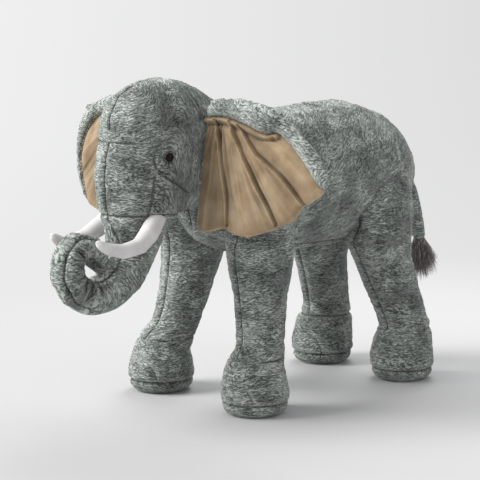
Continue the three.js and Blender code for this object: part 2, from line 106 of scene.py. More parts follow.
# %% Smooth noise and soft steps
def drift(points, seed):
    """Smooth noise from -1 to 1 at each point, with features about one unit wide."""
    shifted = points + np.array((13.7, 71.3, 37.9)) * (seed + 1)
    cell = np.floor(shifted).astype(np.int64)
    part = shifted - cell
    part = part * part * (3 - 2 * part)
    total = np.zeros(len(points))
    for corner in product((0, 1), repeat=3):
        at = cell + np.array(corner)
        mixed = (at[:, 0] * 73856093) ^ (at[:, 1] * 19349663) ^ (at[:, 2] * 83492791)
        mixed = (mixed ^ (mixed >> 13)) * 1274126177
        value = ((mixed ^ (mixed >> 16)) & 0xFFFF) / 32767.5 - 1
        weight = np.prod(np.where(corner, part, 1 - part), axis=1)
        total += value * weight
    return total


def step(value, low, high):
    """0 below low and 1 above high, with a soft rise between."""
    part = np.clip((value - low) / (high - low), 0, 1)
    return part * part * (3 - 2 * part)


def bump_at(distance, width):
    """1 on a line and fading to 0 a width or two away."""
    return np.exp(-(distance / width) ** 2)


def ridged(points, seed):
    """Round ridges with narrow valleys between them, from 1 down to -1.2."""
    return 1 - 2.2 * np.abs(drift(points, seed))


print("noise at the origin:", drift(np.zeros((1, 3)), 1))

# %% [markdown]
# ## From cut panels to one stuffed skin
# The toy's plush panels are sewn edge to edge and blown tight by the stuffing, so no edge shows
# a step. The frame's panels and their stuffing are joined and remeshed as one felt-like skin of
# small even squares, which closes the gaps between them. Smoothing then takes away the facets,
# and one subdivision gives points close enough together for seams and wrinkles.

# %% Join, remesh and smooth
def joined_copy(names, name):
    """One new object from copies of several CAD nodes' meshes."""
    gathered = bmesh.new()
    for node in names:
        gathered.from_mesh(nodes[node].data)
    mesh = bpy.data.meshes.new(name)
    gathered.to_mesh(mesh)
    gathered.free()
    thing = bpy.data.objects.new(name, mesh)
    bpy.context.scene.collection.objects.link(thing)
    return thing


def work_in(thing):
    """Replaces the object's mesh by what its modifiers make of it."""
    graph = bpy.context.evaluated_depsgraph_get()
    mesh = bpy.data.meshes.new_from_object(thing.evaluated_get(graph))
    thing.modifiers.clear()
    thing.data = mesh


def felt(thing, square, smoothing, subdivisions):
    """Remeshes to even squares, in metres, then smooths and subdivides."""
    remesh = thing.modifiers.new("felt", "REMESH")
    remesh.mode = "VOXEL"
    remesh.voxel_size = square
    smooth = thing.modifiers.new("smooth", "SMOOTH")
    smooth.factor = 0.5
    smooth.iterations = smoothing
    work_in(thing)
    if subdivisions:
        finer = thing.modifiers.new("finer", "SUBSURF")
        finer.levels = subdivisions
        work_in(thing)


def is_skin(node):
    """True for the nodes of the body, the head, the trunk and the legs that make up the skin."""
    if node.startswith(("tusk", "tail", "ear", "eye")):
        return False
    return any(word in node for word in ("cover", "stuffing", "panel", "board", "band"))


SQUARE = 0.005
SKIN_SMOOTHING = 26
SKIN_SHRINKAGE = 1.6   # the smoothing draws the skin in by about this, mm

skin = joined_copy([n for n in nodes if is_skin(n)], "skin")
felt(skin, SQUARE, SKIN_SMOOTHING, 0)
print("skin before subdivision:", len(skin.data.vertices), "points")

# %% [markdown]
# ## Which panel is each point on?
# A tailor knows every panel by its pattern piece. Here the nearest CAD panel tells a point
# whether it is on the torso, the head, the trunk or one of the legs. The distance to the second
# nearest form is how far the point is from the seam where the two meet, and that is kept too.

# %% Nearest forms
LEGS = ("front_left", "front_right", "hind_left", "hind_right")
HEAD_NODES = ("head_cover_left", "head_cover_right", "face_panel_left", "face_panel_right", "jaw_panel")
FORMS = {
    "torso": ("torso_cover_left", "torso_cover_right", "belly_panel"),
    "head": HEAD_NODES,
    "trunk": ("trunk_cover_left", "trunk_cover_right", "trunk_band"),
    **{leg: (f"{leg}_leg_cover", f"{leg}_foot_cover", f"{leg}_sole_panel") for leg in LEGS},
}
FORM_NAMES = list(FORMS)


def distances_to(names, points):
    """Distance in mm from each point, in metres, to the nearest of these nodes' surfaces."""
    gathered = bmesh.new()
    for node in names:
        gathered.from_mesh(nodes[node].data)
    tree = BVHTree.FromBMesh(gathered)
    gathered.free()
    return np.array([tree.find_nearest(Vector(p))[3] for p in points]) * 1000


coarse_points = read_points(skin.data)
for form, names in FORMS.items():
    nearness = skin.data.attributes.new(f"to_{form}", "FLOAT", "POINT")
    nearness.data.foreach_set("value", distances_to(names, coarse_points).astype(np.float32))
finer = skin.modifiers.new("finer", "SUBSURF")
finer.levels = 1
work_in(skin)
print("skin after subdivision:", len(skin.data.vertices), "points")

# %% Points, forms and legs
place = to_pattern(read_points(skin.data))
outward = read_normals(skin.data)
place += outward * SKIN_SHRINKAGE
to_form = np.empty((len(FORM_NAMES), len(place)))
for row, form in enumerate(FORM_NAMES):
    column = np.empty(len(place), np.float32)
    skin.data.attributes[f"to_{form}"].data.foreach_get("value", column)
    to_form[row] = column
x, y, z = place.T

MOUTH_HEIGHT = 420    # the seam between the face and the trunk
MOUTH_BACK = -122     # the trunk's skin lies in front of this
form_at = to_form.argmin(axis=0)
HEAD = FORM_NAMES.index("head")
TRUNK = FORM_NAMES.index("trunk")
is_muzzle = (form_at == HEAD) | (form_at == TRUNK)
is_trunk = is_muzzle & (z < MOUTH_HEIGHT) & (y < MOUTH_BACK)
form_at = np.where(is_muzzle, np.where(is_trunk, TRUNK, HEAD), form_at)
is_head = form_at == HEAD
is_torso = form_at == FORM_NAMES.index("torso")
leg_at = [form_at == FORM_NAMES.index(leg) for leg in LEGS]
is_leg = np.any(leg_at, axis=0)
print({form: int((form_at == row).sum()) for row, form in enumerate(FORM_NAMES)})

# %% [markdown]
# ## How far along the trunk?
# Rings of wrinkles run round the trunk, and pleats are gathered into the middle of its curl. Both
# follow the trunk's own length, so the trunk has a centre line here, and each point is measured
# to the nearest place on it.

# %% The trunk's centre line
TRUNK_LINE = np.array((
    (-186, 445), (-190, 395), (-196, 350), (-215, 303), (-258, 268), (-312, 262),
    (-354, 294), (-357, 338), (-330, 366), (-295, 351), (-287, 326), (-287, 306),
), float)   # y and z, from the mouth to the tip
CURL_MIDDLE = np.array((-312.0, 318.0))


def along_line(line, points):
    """For 2-D points: distance along the line to the nearest place on it, and distance off it."""
    best = np.full(len(points), np.inf)
    along = np.zeros(len(points))
    start_along = 0.0
    for start, end in zip(line[:-1], line[1:]):
        span = end - start
        length = np.hypot(*span)
        part = np.clip(((points - start) @ span) / length**2, 0, 1)
        off = np.hypot(*(points - start - part[:, None] * span).T)
        closer = off < best
        best = np.where(closer, off, best)
        along = np.where(closer, start_along + part * length, along)
        start_along += length
    return along, best


trunk_along = along_line(TRUNK_LINE, place[:, 1:])[0]
print("trunk length: %.0f mm" % trunk_along[is_trunk].max())

# %% [markdown]
# ## Seams
# Every seam pulls the plush down into a narrow groove, and the stuffing swells on both sides. Each
# seam is a rule that gives the distance to it in millimetres, and infinity where it isn't. The
# rules follow the toy's panels: a centre seam over the head and back, panels on the face and
# round the eyes, a front and a back seam on each leg, and seams at the ankles, soles and joins.

# %% Seam rules
NO_SEAM = 1e3
FACE_TOP = 566
FACE_SIDE_TOP = 502
ANKLE = 116
SOLE_SEAM = 27
BELLY_HALF = 62
BELLY_HEIGHT = 345
BAND_HALF = 22
BAND_START = (30, 110)     # the trunk's edge band widens between these lengths
JAW_FRONT = -104
JAW_HEIGHT = 432
EYE_PLACE = np.array((84.0, -170.0, 537.0))


def seam_where(mask, distance):
    return np.where(mask, np.abs(distance), NO_SEAM)


band_half = BAND_HALF * step(trunk_along, *BAND_START)
is_muzzle = is_head | is_trunk
is_face = is_head & (z < FACE_TOP) & (y < -150) & (z >= MOUTH_HEIGHT)
side = np.abs(x)
FACE_AXIS = -182
face_turn = np.arctan2(side, -(y - FACE_AXIS))      # 0 at the front of the face
face_radius = np.hypot(x, y - FACE_AXIS)
face_side_turn = 1.19 + 0.17 * (z - MOUTH_HEIGHT) / 80
seams = {
    "back": seam_where(is_torso & (z > 380), x),
    "crown": seam_where(is_head & (z > 590), x),
    "face_middle": seam_where(is_muzzle & (z < FACE_TOP) & (y < -170) & (trunk_along < 90), x),
    "face_side": seam_where(is_head & (z < FACE_SIDE_TOP) & (face_turn < 2),
                            (face_turn - face_side_turn) * face_radius),
    "face_top": seam_where(is_head & (y < -205) & (side < 60), z - FACE_TOP),
    "mouth": seam_where(is_muzzle & (y < MOUTH_BACK), z - MOUTH_HEIGHT),
    "belly": seam_where(is_torso & (z < BELLY_HEIGHT), side - BELLY_HALF),
    "band": seam_where(is_trunk & (trunk_along > BAND_START[0]), side - band_half),
    "ankle": seam_where(is_leg, z - ANKLE),
    "sole": seam_where(is_leg, z - SOLE_SEAM),
}

# %% Seams where two forms meet
two_nearest = np.sort(np.delete(to_form, TRUNK, axis=0), axis=0)[:2]
meeting = two_nearest[1] - two_nearest[0]
joins = seam_where(~is_trunk & (z > 150), meeting)

# %% Seams round the eyes
eye_mirrored = np.where(x[:, None] > 0, EYE_PLACE, EYE_PLACE * (-1, 1, 1))
around_eye = np.linalg.norm(place - eye_mirrored, axis=1)
EYE_PATCH = 33
before_eye = (y < EYE_PLACE[1] + 6) & (z < EYE_PLACE[2] + 26)
seams["eye_patch"] = seam_where(is_head & before_eye, around_eye - EYE_PATCH)
CHEEK_FROM = np.array((-192.0, 506.0))
CHEEK_TO = np.array((-112.0, 462.0))
cheek_off = along_line(np.array((CHEEK_FROM, CHEEK_TO)), place[:, 1:])[1]
seams["cheek"] = seam_where(is_head & (side > 50), cheek_off)

# %% Leg seams, front and back
leg_middle_x = np.zeros(len(place))
leg_middle_y = np.zeros(len(place))
for leg, on_leg in zip(LEGS, leg_at):
    heights = np.arange(0, 460, 20.0)
    middles = []
    for height in heights:
        ring = place[on_leg & (np.abs(z - height) < 14)]
        if len(ring) < 20:
            middles.append(middles[-1])
            continue
        middles.append((ring.min(axis=0) + ring.max(axis=0))[:2] / 2)
    middles = np.array(middles)
    leg_middle_x = np.where(on_leg, np.interp(z, heights, middles[:, 0]), leg_middle_x)
    leg_middle_y = np.where(on_leg, np.interp(z, heights, middles[:, 1]), leg_middle_y)
leg_turn = np.arctan2(x - leg_middle_x, -(y - leg_middle_y))   # 0 at the front of the leg
leg_radius = np.hypot(x - leg_middle_x, y - leg_middle_y)
above_ankle = is_leg & (z > ANKLE)
round_front = leg_turn * leg_radius
round_back = (np.pi - np.abs(leg_turn)) * leg_radius
seams["leg_front"] = seam_where(above_ankle & (np.abs(leg_turn) < 1.2), round_front)
seams["leg_back"] = seam_where(above_ankle & (np.abs(leg_turn) > 2), round_back)
TOE_ARCH = 52         # radius of the arch that the toe cap's seam follows
on_toes = is_leg & (z > SOLE_SEAM) & (z < ANKLE) & (np.abs(leg_turn) < 1.6)
seams["toe_cap"] = seam_where(on_toes, np.hypot(round_front, z - SOLE_SEAM) - TOE_ARCH)
print("leg seams:", int((seams["leg_front"] < 3).sum()), "points in front")

# %% Faint seams
SUNK_IN_PILE = 1.6    # the toe caps' seams are pulled less tight than the others
fading = 1 + 1.6 * step(drift(place / 45, 2), 0.0, 0.5)   # stretches of seam lost in the pile
for faint in ("toe_cap", "ankle", "eye_patch", "cheek", "face_top"):
    seams[faint] = seams[faint] * fading + (fading - 1) * 1.2
seams["toe_cap"] = seams["toe_cap"] + SUNK_IN_PILE
nearest_seam = np.min(list(seams.values()), axis=0)
print("points within 3 mm of a seam:", int((nearest_seam < 3).sum()))

# %% [markdown]
# ## The lie of the wrinkles
# This plush is embossed with fine wavy ridges, like an elephant's own skin. They run round the
# legs and the trunk in rings, level across the face, in curves round the eye and slanting on
# the flanks. One number per point, which grows across the ridges, is enough to say all that, and
# it also drives the cloth's colour later on.

# %% Across the ridges
wander = 9 * drift(place / 55, 3) + 4 * drift(place / 23, 4)
across = z + 0.25 * y
across = np.where(is_torso, 0.86 * z - 0.5 * y, across)
across = np.where(is_leg, z, across)
toward_ear = step(y, -205, -105)
head_across = (z - 540) * (1 - toward_ear) + (y + 160) * toward_ear * 1.1 + 0.35 * around_eye
across = np.where(is_head, head_across, across)
across = np.where(is_face & (face_turn < face_side_turn), z, across)
across = np.where(is_trunk, -trunk_along, across)
across = across + wander
print("ridges cross %.0f to %.0f mm" % (across.min(), across.max()))

# %% [markdown]
# ## Move the skin
# The groove of each seam comes first, with small puckers beside it where the thread gathers the
# cloth. Then come the broad soft folds of the stuffing and the wrinkles across the pile, which
# fade out at the seams so that the panels still meet edge to edge. The face has two level creases
# and a deep fold from the brow to the ear. Pleats are gathered into the trunk's curl, with a gap
# round its tip. Last come the eye sockets, the brows and a dimple where the tail is sewn on.

# %% Grooves and puckers at the seams
GROOVE_DEPTH = 3.4
GROOVE_WIDTH = 3.2
SWELL_HEIGHT = 1.6     # the stuffing's swell beside a seam
SWELL_OFF = 13
JOIN_DEPTH = 1.6       # the soft dip where two forms meet
away_from_seam = 1 - bump_at(nearest_seam, 7)
height = -GROOVE_DEPTH * bump_at(nearest_seam, GROOVE_WIDTH)
height += SWELL_HEIGHT * bump_at(nearest_seam - SWELL_OFF, 9)
pucker = drift(np.column_stack((x / 11, y / 11, z / 6)), 5)
height += 1.1 * pucker * bump_at(nearest_seam, 12) * away_from_seam
height -= JOIN_DEPTH * bump_at(joins, 9)
print("grooves and puckers: %.1f to %.1f mm" % (height.min(), height.max()))

# %% Soft folds and embossed ridges
height += 2.4 * drift(place / 62, 6) * away_from_seam
height += 1.3 * drift(place / 26, 7) * away_from_seam
ridge_place = np.column_stack((x / 24, (y + z * 0.3) / 24, across / 8.5))
height += ridged(ridge_place, 8) * away_from_seam
print("with folds and ridges: %.1f to %.1f mm" % (height.min(), height.max()))

# %% Creases of the face and the brow
FACE_CREASES = ((472, 12), (517, 13))    # the height of each level crease, and its seed
BROW_FOLD = np.array(((-186.0, 604.0), (-135.0, 594.0), (-75.0, 612.0)))   # y and z, to the ear
BROW_FOLD_DEPTH = 5.5
crease = np.full(len(place), NO_SEAM)
for crease_height, seed in FACE_CREASES:
    off_crease = np.abs(z - crease_height - 4 * drift(place / 40, seed))
    crease = np.where(is_face, np.minimum(crease, off_crease), crease)
on_temple = is_head & (side > 25)
brow_fold = np.where(on_temple, along_line(BROW_FOLD, place[:, 1:])[1], NO_SEAM)
height -= 1.8 * bump_at(crease, 3.5) + BROW_FOLD_DEPTH * bump_at(brow_fold, 6)
height += np.where(on_temple, 3.0 * bump_at(brow_fold - 15, 8), 0)
crease = np.minimum(crease, 0.7 * brow_fold)
print("points in a crease:", int((crease < 3).sum()))

# %% Pleats of the curl
PLEATS = 13
PLEAT_DEPTH = 9.0
PLEAT_WIDTH = 4.2
CURL_START = 110       # length along the trunk where the curl begins
curl_turn = np.arctan2(z - CURL_MIDDLE[1], y - CURL_MIDDLE[0])
curl_reach = np.hypot(z - CURL_MIDDLE[1], y - CURL_MIDDLE[0])
in_curl = is_trunk & (trunk_along > CURL_START)
pleat_turn = PLEATS / 2 * curl_turn + 0.9 * drift(place / 34, 9)
pleat_off = np.abs(np.sin(pleat_turn)) * curl_reach * 2 / PLEATS
pleat_fade = 1 - step(curl_reach, 26, 34 + 46 * (1 + 0.8 * drift(place / 24, 10)))
pleat = (2.6 - PLEAT_DEPTH * bump_at(pleat_off, PLEAT_WIDTH)) * pleat_fade * away_from_seam
height += np.where(in_curl, pleat, 0)
# Painted shade in the pleats: the cloth is painted dark where this distance is small.
pleat_shade = np.where(in_curl, 0.5 * pleat_off + 4 * (1 - pleat_fade), NO_SEAM)
print("points in a pleat:", int((pleat_shade < 3).sum()))

# %% The gap round the trunk's tip
TIP_GAP_DEPTH = 6.0
tip_off = along_line(TRUNK_LINE[-4:], place[:, 1:])[1]
rest_off = along_line(TRUNK_LINE[:8], place[:, 1:])[1]
near_tip = in_curl & (curl_reach < 60) & (z > CURL_MIDDLE[1] - 6)
tip_gap = np.where(near_tip, np.abs(tip_off - rest_off - 3), NO_SEAM)
height -= TIP_GAP_DEPTH * bump_at(tip_gap, 5.0)
# Painted shade in the gap round the tip, and less of it on the tip itself.
pleat_shade = np.where(tip_off < rest_off + 3, 3.0 + pleat_shade, pleat_shade)
pleat_shade = np.minimum(pleat_shade, 0.55 * tip_gap)
print("points in the gap:", int((tip_gap < 3).sum()))

# %% Eye sockets, brows and the tail's dimple
SOCKET_DEPTH = 2.4
LID_HEIGHT = 1.6
LID_OFF = 19
BROW_HEIGHT = 4.0
BROW_FROM_EYE = (0, 6, 34)
TAIL_ROOT = (0, 598, 440)
DIMPLE_DEPTH = 4.2
socket = SOCKET_DEPTH * bump_at(around_eye, 13)
lid = LID_HEIGHT * bump_at(around_eye - LID_OFF, 6)
brow = BROW_HEIGHT * bump_at(np.linalg.norm(place - eye_mirrored - BROW_FROM_EYE, axis=1), 24)
dimple = DIMPLE_DEPTH * bump_at(np.linalg.norm(place - TAIL_ROOT, axis=1), 24)
height += np.where(is_head, lid - socket, 0)
height += np.where(is_head, brow, 0)
height -= np.where(is_torso, dimple, 0)
print("sockets, brows and dimple pressed in")

# %% Move every point
FLOOR_GAP = 0.4        # the pile's lowest point over the floor
floor_press = step(z, 2.0, 20.0)
height = np.where(is_leg, height * floor_press, height)
place = place + outward * height[:, None]
place[:, 2] = np.maximum(place[:, 2], FLOOR_GAP)
print("skin moved by %.1f to %.1f mm" % (height.min(), height.max()))

# %% [markdown]
# ## Cut the skin into its panels
# The real cover is many panels, and each has its own node in the frame. A face goes to the panel
# that its middle lies on, by the same rules as the seams, and neighbours share their cut edge,
# so nothing gapes. Each panel keeps four values per point for its cloth: its place at rest, the
# number across the ridges, the distance to the nearest seam or fold, where shade is painted into
# the cloth, and the painted light that makes the pile paler on top and in front.

# %% Cut one panel
def cut_piece(name, quads, points, values):
    """A new object from some of the skin's faces, with the per-point values it carries."""
    used, corners = np.unique(quads, return_inverse=True)
    corners = corners.reshape(-1)
    mesh = bpy.data.meshes.new(name)
    mesh.vertices.add(len(used))
    mesh.loops.add(len(corners))
    mesh.polygons.add(len(quads))
    mesh.vertices.foreach_set("co", to_frame(points[used]).ravel())
    mesh.loops.foreach_set("vertex_index", corners.astype(np.int32))
    mesh.polygons.foreach_set("loop_start", np.arange(0, len(corners), 4, dtype=np.int32))
    mesh.update(calc_edges=True)
    for key, numbers in values.items():
        if numbers.ndim == 2:
            layer = mesh.attributes.new(key, "FLOAT_VECTOR", "POINT")
            layer.data.foreach_set("vector", numbers[used].astype(np.float32).ravel())
        else:
            layer = mesh.attributes.new(key, "FLOAT", "POINT")
            layer.data.foreach_set("value", numbers[used].astype(np.float32))
    mesh.shade_smooth()
    thing = bpy.data.objects.new(name, mesh)
    bpy.context.scene.collection.objects.link(thing)
    return thing


# %% Name the panel of each face
quads = read_quads(skin.data)
centre = place[quads].mean(axis=1)
face_form = form_at[quads[:, 0]]
cx, cy, cz = centre.T
face_along = trunk_along[quads].mean(axis=1)
left = cx > 0
panel_of = np.full(len(quads), "", dtype="U24")
on_torso = face_form == FORM_NAMES.index("torso")
on_head = face_form == HEAD
on_trunk = face_form == TRUNK
panel_of[on_torso] = np.where(left, "torso_left", "torso_right")[on_torso]
panel_of[on_torso & (np.abs(cx) < BELLY_HALF) & (cz < BELLY_HEIGHT)] = "belly"
panel_of[on_head] = np.where(left, "head_left", "head_right")[on_head]
on_face = on_head & (cy < -205) & (cz < FACE_TOP)
panel_of[on_face] = np.where(left, "face_left", "face_right")[on_face]
panel_of[on_head & (cy > JAW_FRONT) & (cz < JAW_HEIGHT)] = "jaw"
panel_of[on_trunk] = np.where(left, "trunk_left", "trunk_right")[on_trunk]
in_band = on_trunk & (np.abs(cx) < BAND_HALF * step(face_along, *BAND_START))
panel_of[in_band] = "trunk_band"
for leg in LEGS:
    on_leg = face_form == FORM_NAMES.index(leg)
    panel_of[on_leg] = f"{leg}_leg"
    panel_of[on_leg & (cz < ANKLE)] = f"{leg}_foot"
    panel_of[on_leg & (cz < SOLE_SEAM)] = f"{leg}_sole"
print({name: int((panel_of == name).sum()) for name in np.unique(panel_of)})

# %% Cut all the panels
REPLACED = {
    "torso_left": "torso_cover_left", "torso_right": "torso_cover_right", "belly": "belly_panel",
    "head_left": "head_cover_left", "head_right": "head_cover_right", "jaw": "jaw_panel",
    "face_left": "face_panel_left", "face_right": "face_panel_right",
    "trunk_left": "trunk_cover_left", "trunk_right": "trunk_cover_right",
    "trunk_band": "trunk_band",
    **{f"{leg}_leg": f"{leg}_leg_cover" for leg in LEGS},
    **{f"{leg}_foot": f"{leg}_foot_cover" for leg in LEGS},
    **{f"{leg}_sole": f"{leg}_sole_panel" for leg in LEGS},
}
# Painted shade of the eye socket: the plush is painted dark in a ring round each eye.
EYE_SHADE_RING = 11           # the plush is dark in a ring this far round the eye
eye_socket_shade = np.where(is_head, 0.5 * np.abs(around_eye - EYE_SHADE_RING), NO_SEAM)
# Painted shade: the distance to the nearest seam, join, pleat, crease or eye socket ring, where the cloth is
# painted dark.
shadowed = np.min((nearest_seam, joins * 1.5 + 2.2, pleat_shade, crease + 1.6, eye_socket_shade), axis=0)
# Painted light: the pile is painted paler where it faces up and to the front.
painted_top_light = step(0.75 * outward[:, 2] - 0.65 * outward[:, 1], 0.1, 1.0)   # on top and in front
skin_values = {"rest_place": place, "across": across, "seam": shadowed, "painted_light_tone": 0.16 * painted_top_light}
plush_pieces = {}
for name in REPLACED:
    plush_pieces[name] = cut_piece(f"{name}_plush", quads[panel_of == name], place, skin_values)
bpy.data.objects.remove(skin)
print("plush panels:", len(plush_pieces))

# %% [markdown]
# ## Ears
# Each ear is a plush back and a velour lining sewn together round the edge, with the plush rolled
# over to the front along the top. Long welts are stitched down the lining, and the thin filling
# swells between them. The two CAD layers are felted together, and then each point is moved by
# where it is in the plane of the ear: outwards from the seam, up along it, and in front of it.
# The lining also keeps a shade value for painted light and shade: painted highlights on the welts'
# cords and along the hem, and painted shade on one side of each cord and below the fold at the top.

# %% Ear patterns
EAR_ROOT = np.array((88.0, -98.0, 382.0))
EAR_TILT = math.radians(8.5)
EAR_SWEEP = math.radians(7)
EAR_OUTLINES = {
    "left": ((0, 12), (18, -2), (46, 5), (72, 15), (100, 4), (134, 1), (190, 21), (244, 46), (263, 76),
             (300, 98), (312, 124), (303, 152), (270, 184), (225, 217), (182, 247), (120, 266),
             (53, 271), (8, 262), (0, 238)),
    "right": ((0, 12), (18, -2), (60, 8), (100, 0), (150, 6), (205, 16), (235, 24), (263, 58),
              (297, 117), (312, 184), (288, 236), (225, 256), (150, 267), (53, 271), (8, 262), (0, 238)),
}
EAR_LININGS = {
    "left": ((-30, -30), (-30, 232), (8, 232), (42, 238), (97, 227), (159, 206), (178, 215), (196, 208),
             (231, 183), (272, 146), (297, 117), (330, 90), (330, -30)),
    "right": ((-30, -30), (-30, 236), (42, 240), (110, 236), (170, 232), (222, 226), (262, 210),
              (284, 176), (288, 130), (262, 80), (238, 40), (230, -30)),
}
EAR_WELTS = {
    "left": (((25, 225), (50, 150), (70, 90), (81, 24)), ((62, 227), (110, 160), (152, 100), (201, 36)),
             ((85, 217), (140, 165), (205, 128), (263, 79))),
    "right": (((40, 232), (70, 150), (96, 14)), ((80, 230), (140, 140), (190, 26)),
              ((120, 228), (190, 160), (262, 96))),
}


def ear_axes(sign):
    """The ear plane's directions on one side: outwards, up, and to the front."""
    up = np.array((0, math.sin(EAR_TILT), math.cos(EAR_TILT)))
    out = np.array((math.cos(EAR_SWEEP), math.sin(EAR_SWEEP), 0))
    out -= out @ up * up
    out /= np.linalg.norm(out)
    front = np.cross(out, up)
    mirror = np.array((sign, 1, 1))
    return out * mirror, up * mirror, front * mirror


def rounded(corners, rounds=3):
    """A closed outline with its corners cut again and again until they are round."""
    line = np.array(corners, float)
    for _ in range(rounds):
        after = np.roll(line, -1, axis=0)
        cut = (0.75 * line + 0.25 * after, 0.25 * line + 0.75 * after)
        line = np.stack(cut, axis=1).reshape(-1, 2)
    return line


def rounded_line(corners):
    """An open line through its corners, with many short steps."""
    corners = np.array(corners, float)
    at = np.linspace(0, len(corners) - 1, 24)
    base = np.arange(len(corners))
    return np.column_stack((np.interp(at, base, corners[:, 0]), np.interp(at, base, corners[:, 1])))


def inside(corners, points):
    """True where 2-D points lie inside a closed outline."""
    within = np.zeros(len(points), bool)
    for (ax, ay), (bx, by) in zip(corners, np.roll(corners, -1, axis=0)):
        if ay == by:
            continue
        crosses = (ay > points[:, 1]) != (by > points[:, 1])
        within ^= crosses & (points[:, 0] < (bx - ax) * (points[:, 1] - ay) / (by - ay) + ax)
    return within


print("ear axes, left:", [axis.round(3) for axis in ear_axes(1)])

# %% Relief and shade of an ear
def welts_of(name, flat):
    """Distance to the nearest welt, which side of it takes painted shade, and the lining's sway beside it."""
    welts = np.full(len(flat), NO_SEAM)
    shaded_side = np.zeros(len(flat))
    sway = np.zeros(len(flat))
    for welt in EAR_WELTS[name]:
        line = rounded_line(welt)
        off = along_line(line, flat)[1]
        side_of = np.sign(np.interp(flat[:, 1], line[::-1, 1], line[::-1, 0]) - flat[:, 0])
        shaded_side = np.where(off < welts, side_of < 0, shaded_side)
        welts = np.minimum(welts, off)
        sway += 3.0 * bump_at(off - 12, 10) * side_of - 3.6 * bump_at(off - 5, 3.4) * (side_of < 0)
    return welts, shaded_side, sway


def billow_of(flat, fan):
    """The lining's soft waves, and the creases that fan out from the ear's root."""
    slant = flat.sum(axis=1)
    billow = 5.0 * drift(np.column_stack((flat / 46, fan * 2)), 21)
    billow += 6.5 * (0.4 - np.abs(drift(np.column_stack((fan * 8, slant / 110, flat[:, 0] / 160)), 22)))
    billow += 3.4 * (0.4 - np.abs(drift(np.column_stack((fan * 19, slant / 70, flat[:, 0] / 90)), 26)))
    return billow


def lining_shade(billow, welts, shaded_side, top_fold, border, edge):
    """Painted light and shade of the velour: lighter on billows, cords and hem, darker beside a cord, under
    the top fold and at the border.
    """
    shade = 1 + 0.10 * np.clip(billow, -4, 4) / 2 + 0.5 * bump_at(welts, 2.2)
    shade -= shaded_side * (0.45 * bump_at(welts - 4.4, 1.8) + 0.22 * np.exp(-welts / 12))
    shade -= 0.45 * bump_at(top_fold - 15, 4.5) + 0.5 * bump_at(border, 2.0) * (edge > 6)
    shade += 0.45 * bump_at(edge, 3.0) + 0.15 * bump_at(top_fold - 6, 5)
    return np.clip(shade, 0.3, 1.6)


print("an ear's shade far from its seams:", lining_shade(*np.array([[0], [99], [0], [99], [99], [99]])))

# %% Make one ear
CORD_HEIGHT = 4.4         # the welts' cords
FOLD_HEIGHT = 8.5         # the lining's fold below the top edge
PLUSH_RIDGE = 0.9


def make_ear(name, sign):
    ear = joined_copy((f"ear_lining_{name}", f"ear_back_{name}"), f"ear_{name}")
    felt(ear, 0.003, 10, 1)
    points = to_pattern(read_points(ear.data))
    normals = read_normals(ear.data)
    out, up, front = ear_axes(sign)
    root = EAR_ROOT * (sign, 1, 1)
    flat = np.column_stack(((points - root) @ out, (points - root) @ up))
    facing = normals @ front
    outline = rounded(EAR_OUTLINES[name], 1)
    lining = rounded(EAR_LININGS[name], 2)
    edge = along_line(np.vstack((outline, outline[:1])), flat)[1]
    border = along_line(np.vstack((lining, lining[:1])), flat)[1]
    in_lining = inside(lining, flat)
    on_front = facing > 0
    hem = np.minimum(edge, np.where(in_lining, border, edge))
    lift = 5.5 * (1 - np.exp(-hem / 14))
    rim = np.where(in_lining, 0, border + edge)
    share = np.where(in_lining, 0, border / np.maximum(rim, 1))
    roll = 0.62 * np.minimum(rim, 46) * np.sqrt(np.clip(4 * share * (1 - share), 0, 1))
    welts, shaded_side, sway = welts_of(name, flat)
    fan = np.arctan2(flat[:, 0] - 40, 262 - flat[:, 1])
    billow = billow_of(flat, fan)
    lining_height = lift + billow * (1 - np.exp(-hem / 16)) + sway * (1 - np.exp(-hem / 10))
    lining_height += CORD_HEIGHT * bump_at(welts, 2.4)
    top_fold = np.where(in_lining & (flat[:, 1] > 195) & (flat[:, 0] < 186), border, NO_SEAM)
    on_upper_part = flat[:, 1] > 150
    across_ear = np.where(on_upper_part, flat[:, 1] + flat[:, 0] * 0.4, flat[:, 0])
    across_ear = across_ear + 5 * drift(points / 30, 23)
    ridges = ridged(np.column_stack((flat[:, 0] / 22, flat[:, 1] / 22, across_ear / 8)), 24)
    front_height = np.where(in_lining, lining_height, roll + 0.8 * ridges)
    front_height += FOLD_HEIGHT * bump_at(top_fold - 6, 5.5) - 4.0 * bump_at(top_fold - 16, 4)
    back_height = 3.5 * (1 - np.exp(-edge / 20)) + PLUSH_RIDGE * ridges
    back_height += 2.0 * drift(np.column_stack((flat / 55, fan)), 25)
    moved = np.where(on_front, front_height, back_height) * step(np.abs(facing), 0.0, 0.5)
    points = points + normals * moved[:, None]
    bend = -18 * (flat[:, 0] / 300) ** 2 + 9 * np.sin(flat[:, 1] / 60) * flat[:, 0] / 300
    points = points + front * bend[:, None]
    quads = read_quads(ear.data)
    face_flat = flat[quads].mean(axis=1)
    is_lining = inside(lining, face_flat) & (facing[quads].mean(axis=1) > -0.15)
    # The ear's plush takes painted shade along the lining's border, and painted light all over that is
    # stronger where it faces the front.
    values = {"rest_place": points, "across": across_ear, "seam": np.where(in_lining, NO_SEAM, border),
              "painted_light_tone": 0.05 + 0.06 * (facing > 0.4),
              "shade": lining_shade(billow, welts, shaded_side, top_fold, border, edge)}
    lining_piece = cut_piece(f"ear_{name}_velour", quads[is_lining], points, values)
    back_piece = cut_piece(f"ear_{name}_plush", quads[~is_lining], points, values)
    bpy.data.objects.remove(ear)
    print(f"ear {name}: {is_lining.sum()} lining faces, {(~is_lining).sum()} plush faces")
    return lining_piece, back_piece


ear_pieces = {name: make_ear(name, sign) for name, sign in (("left", 1), ("right", -1))}

# %% [markdown]
# ## Tusks, tail and stuffing
# The tusks are smooth white velour, and the tail is a plush tube. Their CAD covers are felted
# with their stuffing in the same way, at a finer size. Each stuffing node becomes a lumpy mass
# of fibre a little inside the skin, so that nothing pokes through where a seam draws it in.

